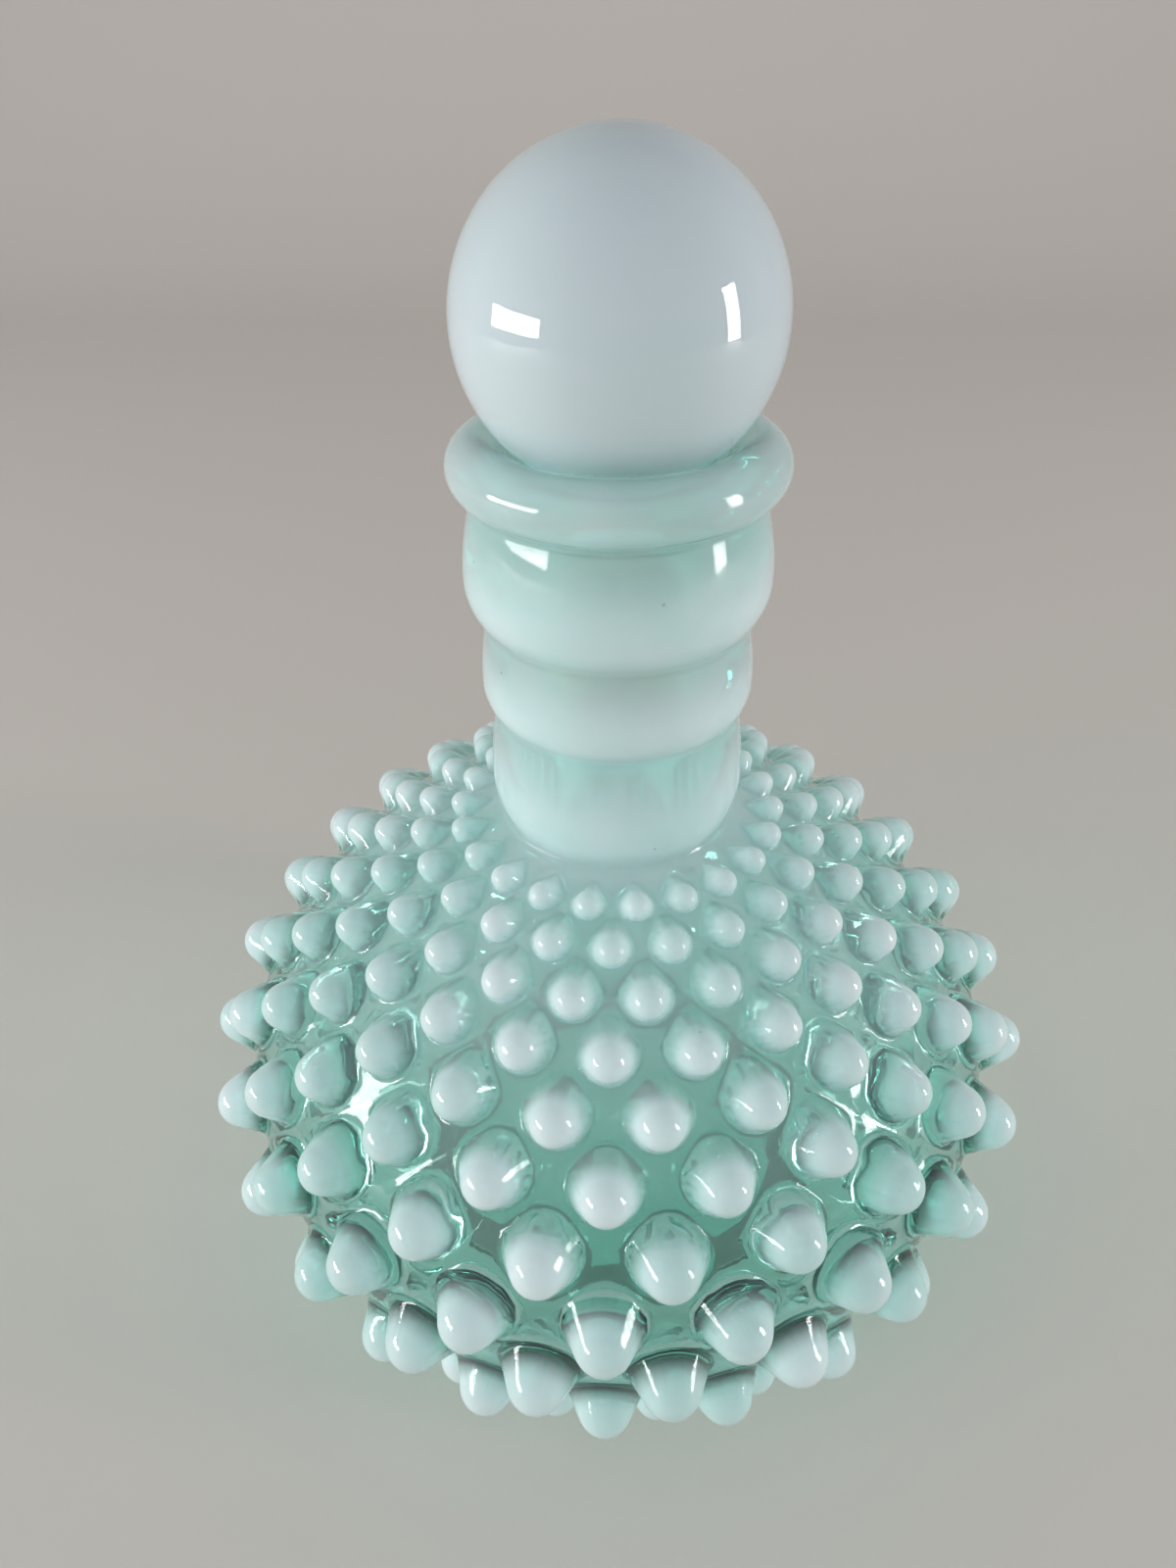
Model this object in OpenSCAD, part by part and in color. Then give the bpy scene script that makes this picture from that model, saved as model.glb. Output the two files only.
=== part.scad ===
/* [Globe] */
// Radius of the glass wall at the widest level, without the hobs
globe_r = 51.4; // [49:0.1:55]
// Radius of the flank above the widest level, in section
flank_r = 24; // [20:0.1:28]
// Angle over which the flank rounds into the shoulder
flank_turn = 30; // [26:0.5:34]
// Radius of the sloping shoulder, in section
shoulder_r = 60; // [54:0.5:68]
// Radius of the rounded belly below the widest level, in section
belly_r = 31; // [26:0.1:38]
// Thickness of the globe's wall
wall = 4.2; // [2.5:0.1:6]
// Thickness of the glass over the foot
base_t = 6.5; // [4:0.1:10]

/* [Foot] */
// Radius of the foot
foot_r = 31; // [28:0.1:35]
// Height of the foot's edge, below the belly
foot_h = 1.2; // [1:0.1:3]
// Bevel on the edge of the foot
foot_bevel = 0.8; // [0.3:0.1:1]
// Radius of the shallow dish under the foot
dish_r = 24; // [12:0.1:26]
// Depth of that dish
dish_depth = 1.5; // [0.5:0.1:2.5]

/* [Hobs] */
// Hobs in each row round the globe
hobs_per_row = 22; // [12:1:26]
// Rows from the shoulder down to the belly
rows = 11; // [6:1:12]
// Distance along the glass from the neck to the first row
first_row_gap = 5.4; // [4:0.1:9]
// Distance along the glass from the last row to the foot
last_row_gap = 14.9; // [14:0.1:22]
// How much the rows spread towards the foot, from 0 for even rows
row_spread = 0.34; // [0:0.01:0.45]
// Diameter of the largest hobs, where they meet the wall
hob_d = 9.6; // [9:0.1:10]
// Height of the largest hobs
hob_h = 5.4; // [4.8:0.1:6.4]
// Radius of the round tip of the largest hobs
hob_tip_r = 3.4; // [2.8:0.1:3.8]
// How far the hobs tilt with the glass, from 0 for level hobs to 1 for hobs square to it
hob_tilt = 0.55; // [0.5:0.01:0.9]
// How fast the hobs shrink with the girth of the globe, from 0 for hobs of one size to 1 for in step
hob_taper = 0.8; // [0.75:0.01:1]

/* [Neck] */
// Radius where the neck leaves the shoulder
neck_foot_r = 14; // [13:0.1:16]
// Largest radius of the low ring
low_ring_r = 15.4; // [14.6:0.1:18]
// Height of the low ring
low_ring_h = 14.8; // [10:0.1:20]
// Height of the low ring's widest level above its bottom
low_ring_belly = 5.4; // [3:0.1:7]
// Radius in the crease between the low and the middle ring
low_crease_r = 14.4; // [13:0.1:14.5]
// Largest radius of the middle ring
middle_ring_r = 15.9; // [15.2:0.1:18]
// Height of the middle ring
middle_ring_h = 11.4; // [8:0.1:16]
// Height of the middle ring's widest level above its bottom
middle_ring_belly = 3.6; // [2.5:0.1:5]
// Radius in the crease between the middle and the top ring
middle_crease_r = 15; // [13:0.1:15.1]
// Largest radius of the top ring
top_ring_r = 17.3; // [16.4:0.1:19]
// Height of the top ring
top_ring_h = 14.4; // [10:0.1:20]
// Height of the top ring's widest level above its bottom
top_ring_belly = 5.2; // [3.5:0.1:7]
// Radius in the crease under the lip
lip_crease_r = 15.8; // [14:0.1:16.2]
// Outer radius of the rolled lip
lip_r = 18.4; // [17:0.1:20]
// Radius of the roll that makes the lip
lip_roll_r = 3.4; // [2.5:0.1:3.6]
// Radius of the bore through the neck
bore_r = 8; // [6.5:0.1:9.5]
// Length of the flared mouth above the bore
mouth_h = 7.4; // [5:0.1:9]

/* [Stopper] */
// Radius of the ball
ball_r = 16.9; // [14:0.1:20]
// Gap between the ball and the lip
ball_gap = 0.4; // [0.3:0.1:0.9]
// Radius of the shank
shank_r = 5; // [3.5:0.1:5.5]
// Length of shank that stands out below the cork
shank_tail = 3; // [1:0.1:6]
// Bevel on the end of the shank
shank_bevel = 0.8; // [0.2:0.1:1.5]

/* [Cork] */
// Length of the cork sleeve
cork_h = 22; // [12:0.1:26]
// Bevel on the ends of the cork
cork_bevel = 0.6; // [0.2:0.1:1]
// Drop from the bottom of the mouth to the top of the cork
cork_drop = 0.5; // [0:0.1:3]
// Clearance between the cork and the bore, on the radius
cork_clearance = 0.06; // [0.03:0.01:0.1]
// Clearance between the shank and the cork, on the radius
shank_clearance = 0.04; // [0.02:0.01:0.1]

/* [Hidden] */
$fn = 96;

// Cuts run this far past the faces that they open, and hobs past the wall that trims them
over = 1;
// A length beyond the whole bottle, for half planes
beyond = 400;
// Step that the neck's first level is rounded to, so that the rings stacked on it meet exactly
level_step = 0.01;

// The globe's section is three arcs that meet smoothly: shoulder, flank and belly
flank_x = globe_r - flank_r;
belly_x = globe_r - belly_r;
shoulder_x = flank_x - (shoulder_r - flank_r) * cos(flank_turn);
shoulder_drop = -(shoulder_r - flank_r) * sin(flank_turn);
neck_turn = acos((neck_foot_r - shoulder_x) / shoulder_r);
foot_turn = acos((foot_r - belly_x) / belly_r);
equator_z = foot_h + belly_r * sin(foot_turn);

// Lengths along the section, from the neck over the shoulder and down to the foot
shoulder_end_s = arc(shoulder_r, neck_turn - flank_turn);
equator_s = shoulder_end_s + arc(flank_r, flank_turn);
last_row_s = equator_s + arc(belly_r, foot_turn) - last_row_gap;

// Levels of the neck, each resting on the one below
shoulder_top_z = equator_z + shoulder_drop + shoulder_r * sin(neck_turn);
neck_z = level_step * round(shoulder_top_z / level_step);
low_crease_z = neck_z + low_ring_h;
middle_crease_z = low_crease_z + middle_ring_h;
lip_crease_z = middle_crease_z + top_ring_h;
lip_x = lip_r - lip_roll_r;
lip_z = lip_crease_z + sqrt(lip_roll_r^2 - (lip_crease_r - lip_x)^2);
lip_top_z = lip_z + lip_roll_r;
mouth_r = lip_x - lip_roll_r;
bore_top_z = lip_z - mouth_h;

// The stopper sits in the mouth, with its shank in the cork
ball_z = lip_z + sqrt((ball_r + lip_roll_r + ball_gap)^2 - lip_x^2);
cork_r = bore_r - cork_clearance;
cork_bore_r = shank_r + shank_clearance;
cork_top_z = bore_top_z - cork_drop;
cork_z = cork_top_z - cork_h;
shank_z = cork_z - shank_tail;

// The dish under the foot is a slice of a large ball
dish_ball_r = (dish_r^2 + dish_depth^2) / (2 * dish_depth);

// A hob is a cone that a round tip closes smoothly
hob_tip_z = hob_h - hob_tip_r;
hob_slope = atan2(hob_d / 2, hob_tip_z) - asin(hob_tip_r / norm([hob_d / 2, hob_tip_z]));

// Length of an arc of a circle
function arc(r, turn) = PI * r * turn / 180;

// Angle that an arc of a given length takes up
function turn_of(r, length) = length / (PI * r) * 180;

// Length along the section of a row, the first one nearest the neck
function row_s(row) =
  let (t = row / (rows - 1))
  first_row_gap + (last_row_s - first_row_gap) * ((1 - row_spread) * t + row_spread * t^2);

// Radius, height and tilt of the glass at a length along the section
function glass_at(s) =
  s < shoulder_end_s
  ? arc_point(shoulder_x, shoulder_drop, shoulder_r, neck_turn - turn_of(shoulder_r, s))
  : s < equator_s ? arc_point(flank_x, 0, flank_r, turn_of(flank_r, equator_s - s))
  : arc_point(belly_x, 0, belly_r, -turn_of(belly_r, s - equator_s));

function arc_point(x, z, r, turn) = [x + r * cos(turn), equator_z + z + r * sin(turn), turn];

// Section of the globe, drawn in from the outer wall by inset
module globe_section(inset) {
  translate([0, equator_z]) {
    intersection() {
      translate([shoulder_x, shoulder_drop]) circle(shoulder_r - inset);
      square([flank_x + (flank_r - inset) * cos(flank_turn), beyond]);
    }
    intersection() {
      translate([flank_x, 0]) circle(flank_r - inset);
      square([beyond, beyond]);
    }
    intersection() {
      translate([belly_x, 0]) circle(belly_r - inset);
      translate([0, -beyond]) square([beyond, beyond]);
    }
  }
}

// Section of one drooping ring of the neck: a tight arc below its widest level, a long one above
module ring_section(ring_r, bottom_z, bottom_r, belly, height, top_r) {
  belly_z = bottom_z + belly;
  low_arc_r = arc_through(belly, ring_r - bottom_r);
  high_arc_r = arc_through(height - belly, ring_r - top_r);
  intersection() {
    translate([ring_r - low_arc_r, belly_z]) circle(low_arc_r);
    translate([0, bottom_z]) square([ring_r, belly]);
  }
  intersection() {
    translate([ring_r - high_arc_r, belly_z]) circle(high_arc_r);
    translate([0, belly_z]) square([ring_r, height - belly]);
  }
  translate([0, bottom_z]) square([min(bottom_r, top_r), height]);
}

// Radius of the arc that falls by drop over a length along the neck
function arc_through(length, drop) = (length^2 + drop^2) / (2 * drop);

// Outer section of the bottle, without the hobs
module outer_section() {
  intersection() {
    globe_section(0);
    square([beyond, beyond]);
  }
  polygon([
    [0, 0], [foot_r - foot_bevel, 0], [foot_r, foot_bevel],
    [foot_r, foot_h], [0, equator_z]
  ]);
  translate([0, equator_z]) square([neck_foot_r, neck_z - equator_z]);
  ring_section(low_ring_r, neck_z, neck_foot_r, low_ring_belly, low_ring_h, low_crease_r);
  ring_section(
    middle_ring_r, low_crease_z, low_crease_r, middle_ring_belly, middle_ring_h, middle_crease_r
  );
  ring_section(
    top_ring_r, middle_crease_z, middle_crease_r, top_ring_belly, top_ring_h, lip_crease_r
  );
  translate([lip_x, lip_z]) circle(lip_roll_r);
  translate([0, lip_crease_z]) square([lip_x, lip_z - lip_crease_z]);
}

// Section of the space inside the bottle
module inner_section() {
  intersection() {
    globe_section(wall);
    translate([0, base_t]) square([beyond, beyond]);
  }
  translate([0, base_t]) square([belly_x, equator_z - base_t]);
  polygon([
    [0, equator_z], [bore_r, equator_z], [bore_r, bore_top_z], [mouth_r, lip_z],
    [mouth_r, lip_top_z + over], [0, lip_top_z + over]
  ]);
}

// One hob along z, at a share of the largest hobs' size, on a wall that slopes by slant under it
module hob(share, slant) {
  base_r = hob_d / 2 * share;
  cone_h = (hob_tip_z + hob_tip_r * sin(hob_slope)) * share;
  cone_r = hob_tip_r * cos(hob_slope) * share;
  root = over + base_r * tan(slant);
  rotate_extrude()
    polygon([[0, -root], [base_r, -root], [base_r, 0], [cone_r, cone_h], [0, cone_h]]);
  translate([0, 0, hob_tip_z * share]) sphere(hob_tip_r * share);
}

// A row of hobs that tilt part of the way with the glass, sized with the girth of the globe there
module hob_row(row) {
  place = glass_at(row_s(row));
  stagger = (row % 2) / 2;
  for (i = [0 : hobs_per_row - 1])
    rotate((i + stagger) * 360 / hobs_per_row)
      translate([place[0], 0, place[1]])
        rotate([0, 90 - hob_tilt * place[2], 0])
          hob((place[0] / globe_r)^hob_taper, (1 - hob_tilt) * abs(place[2]));
}

// The glass of globe, neck and lip
module bottle() {
  color("#9fd4cb")
    difference() {
      rotate_extrude() outer_section();
      rotate_extrude() inner_section();
      translate([0, 0, dish_depth - dish_ball_r]) sphere(dish_ball_r);
    }
}

// The raised hobs of the same glass, each shaped to the wall under it
module hobs() {
  color("#c4e4e2")
    difference() {
      for (row = [0 : rows - 1]) hob_row(row);
      rotate_extrude() outer_section();
    }
}

module stopper() {
  color("#e3f0f2") {
    translate([0, 0, ball_z]) sphere(ball_r);
    translate([0, 0, shank_z + shank_bevel]) cylinder(r = shank_r, h = ball_z - shank_z - shank_bevel);
    translate([0, 0, shank_z]) cylinder(r1 = shank_r - shank_bevel, r2 = shank_r, h = shank_bevel);
  }
}

module cork_sleeve() {
  color("#b58a5a")
    translate([0, 0, cork_z])
      rotate_extrude()
        polygon([
          [cork_bore_r, 0], [cork_r - cork_bevel, 0], [cork_r, cork_bevel],
          [cork_r, cork_h - cork_bevel], [cork_r - cork_bevel, cork_h], [cork_bore_r, cork_h]
        ]);
}

bottle();
hobs();
stopper();
cork_sleeve();
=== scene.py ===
"""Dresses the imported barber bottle: hobnail glass, ball stopper and cork, on a pale studio sweep."""

import logging
import math
from dataclasses import dataclass, field
from enum import Enum
from typing import Callable, ClassVar, Iterable, Sequence

import bmesh
import bpy
from mathutils import Matrix, Vector, noise


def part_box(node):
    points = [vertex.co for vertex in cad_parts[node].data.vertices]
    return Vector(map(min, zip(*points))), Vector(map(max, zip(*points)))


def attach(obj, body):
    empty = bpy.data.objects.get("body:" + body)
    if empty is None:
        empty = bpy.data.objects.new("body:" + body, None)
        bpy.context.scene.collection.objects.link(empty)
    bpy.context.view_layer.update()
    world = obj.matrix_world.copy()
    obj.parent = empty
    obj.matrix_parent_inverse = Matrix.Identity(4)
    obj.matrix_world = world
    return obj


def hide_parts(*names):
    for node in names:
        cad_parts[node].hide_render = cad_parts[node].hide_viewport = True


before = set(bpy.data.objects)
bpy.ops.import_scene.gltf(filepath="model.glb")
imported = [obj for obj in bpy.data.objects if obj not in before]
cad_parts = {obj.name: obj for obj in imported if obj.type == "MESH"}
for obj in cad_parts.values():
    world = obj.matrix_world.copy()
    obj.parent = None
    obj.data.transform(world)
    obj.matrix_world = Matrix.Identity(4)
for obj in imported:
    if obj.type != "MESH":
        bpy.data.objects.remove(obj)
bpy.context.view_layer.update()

LOG = logging.getLogger("barber_bottle")

# Metres in a millimetre: sizes are written in millimetres, as in the part's source
MM = 0.001
# Distance from the axis, in millimetres, under which a turned place is one point
ON_AXIS = 1e-6
# Distance, in millimetres, within which points of a draft are welded
WELD = 1e-4

Point = tuple[float, float, float]
Color = tuple[float, float, float, float]
# A point with the share of a hob's height and of milk there, painted light and shade included
Dressed = tuple[Point, float, float]


class Body(str, Enum):
    """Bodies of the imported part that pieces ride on."""

    BOTTLE = "bottle"
    CORK = "cork"
    STOPPER = "stopper"


class Slot(str, Enum):
    """Material slots of the record."""

    AQUA = "aqua_opalescent_glass"
    OPAL = "opal_glass"
    CORK = "cork"


class Trait(str, Enum):
    """Values that a mesh carries at its points for the shaders."""

    HOB = "hob_height"
    # Milk in the glass, with painted light on the low belly and painted shade in the neck's creases
    HAZE_AND_PAINTED_LIGHT = "haze_and_painted_light"


def smooth_step(low: float, high: float, value: float) -> float:
    """Eases from 0 at low to 1 at high.

    Args:
        low: Value at which the result leaves 0.
        high: Value at which the result reaches 1.
        value: Value to ease.

    Returns:
        A number from 0 to 1.
    """
    share = min(1.0, max(0.0, (value - low) / (high - low)))
    return share * share * (3.0 - 2.0 * share)


def smooth_max(a: float, b: float, width: float) -> float:
    """Takes the larger of two heights, with a rounded crease where they meet.

    Args:
        a: First height.
        b: Second height.
        width: Difference in height within which the crease is rounded.

    Returns:
        The rounded maximum.
    """
    overlap = max(0.0, width - abs(a - b)) / width
    return max(a, b) + overlap * overlap * width / 4.0


@dataclass(frozen=True)
class SectionPoint:
    """A place on a section: distance from the axis, height, and tilt of its normal in radians."""

    r: float
    z: float
    tilt: float = 0.0

    def turned(self, turn: float) -> Point:
        """Turns the place round the axis."""
        return (self.r * math.cos(turn), self.r * math.sin(turn), self.z)


def bend(start: SectionPoint, corner: SectionPoint, end: SectionPoint, steps: int) -> list[SectionPoint]:
    """Rounds a corner between two places, both left out.

    Args:
        start: Place where the bend leaves the first line.
        corner: Place where the two lines would meet.
        end: Place where the bend joins the second line.
        steps: Steps from start to end.

    Returns:
        Places in order.
    """
    places = []
    for i in range(1, steps):
        t = i / steps
        pulls = (((1 - t) ** 2, start), (2 * t * (1 - t), corner), (t * t, end))
        r = sum(weight * place.r for weight, place in pulls)
        places.append(SectionPoint(r, sum(weight * place.z for weight, place in pulls)))
    return places


@dataclass
class MeshDraft:
    """Collects points, faces and a hob height and milk for each point, in millimetres; the milk carries
    painted light and shade.
    """

    points: list[Point] = field(default_factory=list)
    faces: list[tuple[int, ...]] = field(default_factory=list)
    hob: list[float] = field(default_factory=list)
    haze_and_painted_light: list[float] = field(default_factory=list)

    def add(self, point: Point, hob: float = 0.0, haze_and_painted_light: float = 0.0) -> int:
        """Adds a point.

        Args:
            point: Place in millimetres.
            hob: Share of a hob's height that the point stands at.
            haze_and_painted_light: Share of milk in the glass there.

        Returns:
            The point's index.
        """
        self.points.append(point)
        self.hob.append(hob)
        self.haze_and_painted_light.append(haze_and_painted_light)
        return len(self.points) - 1

    def lathe(
        self, profile: Sequence[SectionPoint], segments: int, haze_and_painted_light: Callable[[SectionPoint], float]
    ) -> None:
        """Turns a profile round the axis; the solid lies on the left of the profile's way.

        Args:
            profile: Places on the profile, in order. A place on the axis becomes one point.
            segments: Points in each ring.
            haze_and_painted_light: Gives the milk at a place.
        """
        turns = [2.0 * math.pi * j / segments for j in range(segments)]
        rings: list[list[int]] = []
        for place in profile:
            milk = haze_and_painted_light(place)
            if place.r < ON_AXIS:
                rings.append([self.add((0.0, 0.0, place.z), haze_and_painted_light=milk)] * segments)
                continue
            rings.append([self.add(place.turned(turn), haze_and_painted_light=milk) for turn in turns])
        for low, high in zip(rings, rings[1:]):
            for j in range(segments):
                k = (j + 1) % segments
                corners = (low[j], low[k], high[k], high[j])
                self.faces.append(tuple(dict.fromkeys(corners)))

    def to_object(self, name: str) -> bpy.types.Object:
        """Welds the draft into a smooth mesh object in metres.

        Args:
            name: Name of the piece.

        Returns:
            The object, linked to the scene.
        """
        mesh = bpy.data.meshes.new(name)
        mesh.from_pydata([(x * MM, y * MM, z * MM) for x, y, z in self.points], [], self.faces)
        for trait, values in ((Trait.HOB, self.hob), (Trait.HAZE_AND_PAINTED_LIGHT, self.haze_and_painted_light)):
            layer = mesh.attributes.new(trait.value, "FLOAT", "POINT")
            layer.data.foreach_set("value", values)
        work = bmesh.new()
        work.from_mesh(mesh)
        bmesh.ops.remove_doubles(work, verts=work.verts, dist=WELD * MM)
        work.to_mesh(mesh)
        work.free()
        mesh.shade_smooth()
        piece = bpy.data.objects.new(name, mesh)
        bpy.context.scene.collection.objects.link(piece)
        return piece


@dataclass(frozen=True)
class GlobeSection:
    """The globe's section: a sloping shoulder, a flank and a belly, three arcs that meet smoothly."""

    globe_r: float = 51.4
    flank_r: float = 24.0
    flank_turn: float = math.radians(30.0)
    shoulder_r: float = 60.0
    belly_r: float = 31.0
    neck_foot_r: float = 14.0
    foot_r: float = 31.0
    foot_h: float = 1.2
    foot_bevel: float = 0.8
    dish_r: float = 24.0
    dish_depth: float = 1.5
    wall: float = 4.2
    base_t: float = 6.5

    @property
    def flank_x(self) -> float:
        """Distance of the flank's centre from the axis."""
        return self.globe_r - self.flank_r

    @property
    def shoulder_x(self) -> float:
        """Distance of the shoulder's centre from the axis, below 0 past it."""
        return self.flank_x - (self.shoulder_r - self.flank_r) * math.cos(self.flank_turn)

    @property
    def shoulder_drop(self) -> float:
        """Height of the shoulder's centre above the widest level."""
        return -(self.shoulder_r - self.flank_r) * math.sin(self.flank_turn)

    @property
    def neck_turn(self) -> float:
        """Tilt of the shoulder where the neck leaves it."""
        return math.acos((self.neck_foot_r - self.shoulder_x) / self.shoulder_r)

    @property
    def foot_turn(self) -> float:
        """Angle over which the belly runs down to the foot."""
        return math.acos((self.foot_r - self.globe_r + self.belly_r) / self.belly_r)

    @property
    def equator_z(self) -> float:
        """Height of the widest level above the table."""
        return self.foot_h + self.belly_r * math.sin(self.foot_turn)

    @property
    def shoulder_end_s(self) -> float:
        """Length along the section from the neck to the end of the shoulder."""
        return self.shoulder_r * (self.neck_turn - self.flank_turn)

    @property
    def equator_s(self) -> float:
        """Length along the section from the neck to the widest level."""
        return self.shoulder_end_s + self.flank_r * self.flank_turn

    @property
    def foot_s(self) -> float:
        """Length along the section from the neck to the foot."""
        return self.equator_s + self.belly_r * self.foot_turn

    def shoulder_s(self, r: float, inset: float = 0.0) -> float:
        """Gives the length along the section at which the shoulder has a distance from the axis.

        Args:
            r: Distance from the axis.
            inset: Depth below the outer face.

        Returns:
            The length from the neck, below 0 on the neck's side.
        """
        tilt = math.acos((r - self.shoulder_x) / (self.shoulder_r - inset))
        return self.shoulder_r * (self.neck_turn - tilt)

    def at(self, s: float, inset: float = 0.0) -> SectionPoint:
        """Finds the place at a length along the outer face, moved in square to the glass.

        Args:
            s: Length along the section from the neck over the shoulder.
            inset: Depth below the outer face.

        Returns:
            The place and its tilt.
        """
        if s < self.shoulder_end_s:
            x, z, radius = self.shoulder_x, self.shoulder_drop, self.shoulder_r
            tilt = self.neck_turn - s / radius
        elif s < self.equator_s:
            x, z, radius = self.flank_x, 0.0, self.flank_r
            tilt = (self.equator_s - s) / radius
        else:
            x, z, radius = self.globe_r - self.belly_r, 0.0, self.belly_r
            tilt = (self.equator_s - s) / radius
        reach = radius - inset
        return SectionPoint(x + reach * math.cos(tilt), self.equator_z + z + reach * math.sin(tilt), tilt)

    def run(self, start_s: float, end_s: float, steps: int, inset: float = 0.0) -> list[SectionPoint]:
        """Lists places at even lengths from one length to another, ends included."""
        return [self.at(start_s + (end_s - start_s) * i / steps, inset) for i in range(steps + 1)]


@dataclass(frozen=True)
class Fineness:
    """How finely a layer of the bottle is drawn: steps on a patch's edge, rings, and neck step in mm."""

    patch_steps: int
    tip_rings: int
    cone_rings: int
    root_rings: int
    neck_step: float


@dataclass(frozen=True)
class HobPattern:
    """Staggered rows of round-tipped hobs that grow with the globe's girth."""

    per_row: int = 22
    rows: int = 11
    first_gap: float = 5.4
    last_gap: float = 14.9
    spread: float = 0.34
    base_d: float = 9.6
    height: float = 5.4
    tip_r: float = 3.4
    tilt_share: float = 0.55
    taper: float = 0.8
    root_draft: float = math.radians(14.0)
    root_fillet: float = 1.5
    rim_share: float = 0.35
    cap_rise: float = 0.12
    stretch_from: float = 0.35
    stretch_to: float = 0.5
    patch_limit: float = 0.94
    level_from: float = 0.85

    @property
    def pitch(self) -> float:
        """Angle from one hob to the next in a row."""
        return 2.0 * math.pi / self.per_row

    @property
    def tip_z(self) -> float:
        """Height of the centre of the round tip."""
        return self.height - self.tip_r

    @property
    def slope(self) -> float:
        """Half angle of the cone under the tip."""
        base_r = self.base_d / 2.0
        return math.atan2(base_r, self.tip_z) - math.asin(self.tip_r / math.hypot(base_r, self.tip_z))

    def row_s(self, row: int, foot_s: float) -> float:
        """Gives a row's length along the section from the neck.

        Args:
            row: Row number, 0 nearest the neck; -1 is the rim above it, and rows past the last keep step.
            foot_s: Length at which the belly meets the foot.

        Returns:
            The length along the section.
        """
        if row < 0:
            return self.rim_share * self.first_gap
        if row >= self.rows:
            return 2.0 * self.row_s(row - 1, foot_s) - self.row_s(row - 2, foot_s)
        last = foot_s - self.last_gap
        t = row / (self.rows - 1)
        return self.first_gap + (last - self.first_gap) * ((1.0 - self.spread) * t + self.spread * t * t)

    def row_turn(self, row: int, index: int) -> float:
        """Azimuth of a hob in its staggered row."""
        return (index + (row % 2) / 2.0) * self.pitch

    def crown(self, rho: float) -> float:
        """Gives the height of a full-size hob over its root plane.

        Args:
            rho: Distance from the hob's axis.

        Returns:
            The height, below 0 outside the root.
        """
        base_r = self.base_d / 2.0
        if rho <= self.tip_r * math.cos(self.slope):
            return self.tip_z + math.sqrt(self.tip_r**2 - rho * rho)
        return (base_r - rho) / math.tan(self.slope if rho <= base_r else self.root_draft)

    def ring_radii(self, fine: Fineness) -> list[float]:
        """Chooses distances from a full-size hob's axis at which its mesh has rings.

        Args:
            fine: Rings over the tip, over the cone and through the rounded crease at the root.

        Returns:
            Distances from small to large.
        """
        tip_turn = math.pi / 2.0 - self.slope
        base_r = self.base_d / 2.0
        count = fine.tip_rings
        tip = [self.tip_r * math.sin(tip_turn * (i + 1) / count) for i in range(count)]
        count = fine.cone_rings
        cone = [tip[-1] + (base_r - tip[-1]) * (i + 1) / count for i in range(count)]
        count = fine.root_rings
        root = [base_r + self.root_fillet * ((i + 1) / count) ** 2 for i in range(count)]
        return tip + cone + root

    def ring_reach(self, rho: float, downhill: float) -> float:
        """Stretches a ring near the root where the wall falls away uphill of a tilted hob.

        Args:
            rho: Distance of the ring from the hob's axis.
            downhill: Rise of the wall along the axis for each unit of distance from it.

        Returns:
            The distance of the stretched ring from the axis.
        """
        stretch = 1.0 / (1.0 + math.tan(self.root_draft) * downhill)
        near_root = smooth_step(self.stretch_from * self.base_d, self.stretch_to * self.base_d, rho)
        return rho * (1.0 + (stretch - 1.0) * near_root)


@dataclass(frozen=True)
class NeckRing:
    """One drooping ring of the neck: a tight arc below its widest level and a long one above."""

    ring_r: float
    bottom_r: float
    belly: float
    height: float
    top_r: float
    # Share of an arc's radius past which the ring falls no further
    ARC_LIMIT: ClassVar[float] = 0.999

    def radius(self, rise: float) -> float:
        """Gives the ring's radius at a height above its bottom; it goes on falling past its ends.

        Args:
            rise: Height above the ring's bottom.

        Returns:
            The radius there.
        """
        length, fall = self.belly, self.ring_r - self.bottom_r
        if rise > self.belly:
            length, fall = self.height - self.belly, self.ring_r - self.top_r
        arc_r = (length * length + fall * fall) / (2.0 * fall)
        off = min(abs(rise - self.belly), self.ARC_LIMIT * arc_r)
        return self.ring_r - arc_r + math.sqrt(arc_r * arc_r - off * off)


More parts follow.
